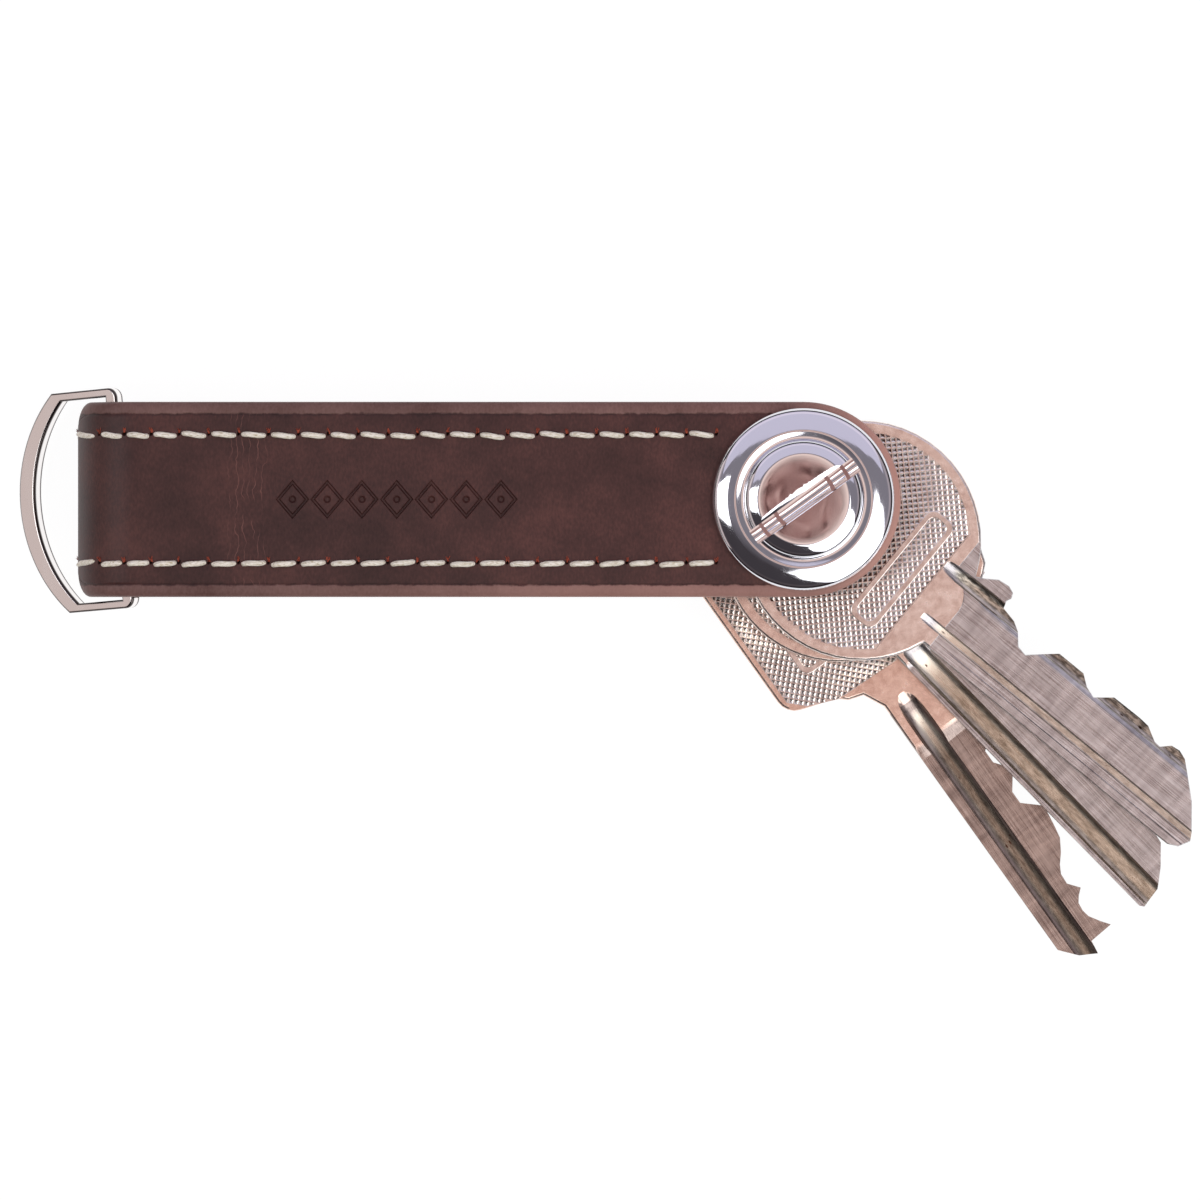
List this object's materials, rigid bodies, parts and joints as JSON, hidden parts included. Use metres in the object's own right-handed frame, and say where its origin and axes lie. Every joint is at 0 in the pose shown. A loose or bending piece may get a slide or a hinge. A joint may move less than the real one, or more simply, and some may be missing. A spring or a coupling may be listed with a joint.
{
  "type": "leather key organizer",
  "caption": "Folded and stitched leather strap with a D-ring at its fold and keys that fan out on a coin-slotted binding post.",
  "frame": {"origin": "on the post's axis, at the flat outer face of the back disc, which the organizer lies on", "axes": "+Z up through the post to the slotted head; +X away from the strap, to the end with the keys; the strap runs to -X and +Y is up in the picture"},
  "size_m": [0.126, 0.061, 0.0182],
  "materials": {
    "outer_leather": "smooth waxed full-grain, burnished edges",
    "lining_leather": "matt flesh-side lining",
    "thread": "twisted waxed thread",
    "ring_chrome": "polished plate",
    "screw_chrome": "mirror polished",
    "nylon": "satin",
    "nickel": "nickel plated, milled and worn"
  },
  "bodies": {
    "strap": {"outer_strap": "outer_leather", "lining_strap": "lining_leather", "upper_outer_thread": "thread", "upper_inner_thread": "thread", "lower_outer_thread": "thread", "lower_inner_thread": "thread", "back_nut": "screw_chrome", "rear_washer": "nylon", "front_washer": "nylon"},
    "ring": {"d_ring": "ring_chrome"},
    "screw": {"coin_screw": "screw_chrome"},
    "front_key": {"front_key": "nickel"},
    "middle_key": {"middle_key": "nickel"},
    "angular_key": {"angular_key": "nickel"}
  },
  "joints": [
    {"name": "ring_swing", "type": "hinge", "parent": "strap", "child": "ring", "pos_m": [-0.07291, 0.00025, 0.00753], "axis": [-0.0837, 0.9965, 0], "range_deg": [-75, 80]},
    {"name": "screw_turn", "type": "hinge", "parent": "strap", "child": "screw", "pos_m": [0, 0, 0.01546], "axis": [0, 0, 1], "range_deg": [0, 360]},
    {"name": "front_key_turn", "type": "hinge", "parent": "strap", "child": "front_key", "pos_m": [0, 0, 0.01095], "axis": [0, 0, 1], "continuous": true},
    {"name": "middle_key_turn", "type": "hinge", "parent": "strap", "child": "middle_key", "pos_m": [0, 0, 0.00873], "axis": [0, 0, 1], "continuous": true},
    {"name": "angular_key_turn", "type": "hinge", "parent": "strap", "child": "angular_key", "pos_m": [0, 0, 0.00651], "axis": [0, 0, 1], "continuous": true}
  ]
}
